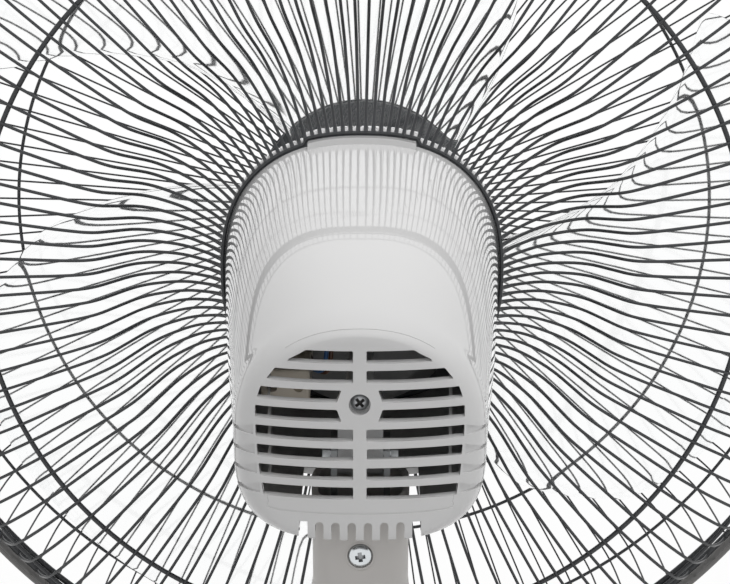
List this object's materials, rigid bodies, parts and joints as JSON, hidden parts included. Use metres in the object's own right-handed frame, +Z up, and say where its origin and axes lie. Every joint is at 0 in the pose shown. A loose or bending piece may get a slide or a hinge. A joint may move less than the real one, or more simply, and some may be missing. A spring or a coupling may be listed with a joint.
{
  "type": "air circulator fan",
  "caption": "Round air circulator fan with wire guards, clear blades and a slotted motor housing, on a neck that tilts and swings over a weighted round base with keys and a timer.",
  "frame": {"origin": "on the floor, under the middle of the round base", "axes": "+Z up, -Y the way the fan blows, +X to the left of the picture, which is taken from behind"},
  "size_m": [0.4612, 0.3, 0.5756],
  "materials": {
    "gloss_white": "glossy moulded plastic",
    "satin_white": "fine satin texture",
    "guard_grey": "semi-gloss coated wire",
    "dark_plastic": "satin",
    "clear_blade": "clear, faintly blue",
    "zinc": "bright zinc plate",
    "steel": "plain steel",
    "cast_metal": "die-cast",
    "copper": "enamelled wire",
    "bronze": "sintered",
    "rubber": "matte",
    "beige": "moulded case",
    "blue": "lead insulation"
  },
  "bodies": {
    "stand": {"base_cover": "gloss_white", "base_weight": "steel", "foot_1": "rubber", "foot_2": "rubber", "foot_3": "rubber", "foot_4": "rubber", "column_front": "gloss_white", "column_rear": "gloss_white", "column_screw_1": "zinc", "column_screw_2": "zinc", "swing_bearing": "dark_plastic", "swing_motor": "steel", "key_switch_block": "dark_plastic", "timer_module": "dark_plastic", "cord_inlet": "rubber"},
    "neck": {"neck_front": "satin_white", "neck_rear": "satin_white", "neck_screw": "zinc", "tilt_fork": "steel", "tilt_pin": "zinc", "tilt_nut": "zinc", "swing_shaft": "steel"},
    "head": {"motor_housing": "gloss_white", "motor_front_cover": "gloss_white", "rear_guard": "guard_grey", "front_guard": "guard_grey", "guard_mount_plate": "dark_plastic", "guard_rim_band": "dark_plastic", "front_badge": "dark_plastic", "badge_backing": "dark_plastic", "rim_screw": "zinc", "rim_nut": "zinc", "housing_screw": "zinc", "plate_screw_1": "zinc", "plate_screw_2": "zinc", "plate_screw_3": "zinc", "plate_screw_4": "zinc", "motor_front_shield": "cast_metal", "motor_rear_shield": "cast_metal", "stator_core": "steel", "stator_winding_front": "copper", "stator_winding_rear": "copper", "front_bearing": "bronze", "rear_bearing": "bronze", "run_capacitor": "beige", "motor_leads": "blue", "tilt_lug": "cast_metal"},
    "rotor": {"motor_shaft": "zinc", "rotor_core": "steel", "impeller": "clear_blade", "blade_nut": "dark_plastic"},
    "key_off": {"key_off": "dark_plastic"},
    "key_low": {"key_low": "satin_white"},
    "key_medium": {"key_medium": "satin_white"},
    "key_high": {"key_high": "satin_white"},
    "key_swing": {"key_swing": "satin_white"},
    "timer_knob": {"timer_knob": "satin_white"}
  },
  "joints": [
    {"name": "head_swing", "type": "hinge", "parent": "stand", "child": "neck", "pos_m": [0, 0.07, 0.205], "axis": [0, 0, 1], "range_deg": [-40, 40]},
    {"name": "head_tilt", "type": "hinge", "parent": "neck", "child": "head", "pos_m": [0, 0.068, 0.293], "axis": [1, 0, 0], "range_deg": [-15, 10]},
    {"name": "blade_spin", "type": "hinge", "parent": "head", "child": "rotor", "pos_m": [0, -0.03, 0.345], "axis": [0, 1, 0], "continuous": true},
    {"name": "key_off_press", "type": "slide", "parent": "stand", "child": "key_off", "axis": [0, 0.3531, -0.9356], "range_m": [0, 0.003], "stiffness_N_per_m": 400},
    {"name": "key_low_press", "type": "slide", "parent": "stand", "child": "key_low", "axis": [0, 0.3531, -0.9356], "range_m": [0, 0.003], "stiffness_N_per_m": 400},
    {"name": "key_medium_press", "type": "slide", "parent": "stand", "child": "key_medium", "axis": [0, 0.3531, -0.9356], "range_m": [0, 0.003], "stiffness_N_per_m": 400},
    {"name": "key_high_press", "type": "slide", "parent": "stand", "child": "key_high", "axis": [0, 0.3531, -0.9356], "range_m": [0, 0.003], "stiffness_N_per_m": 400},
    {"name": "key_swing_press", "type": "slide", "parent": "stand", "child": "key_swing", "axis": [0, 0.3531, -0.9356], "range_m": [0, 0.003], "stiffness_N_per_m": 400},
    {"name": "timer_turn", "type": "hinge", "parent": "stand", "child": "timer_knob", "pos_m": [0.056, -0.0855, 0.045], "axis": [0, 0.3531, -0.9356], "range_deg": [0, 270]}
  ]
}
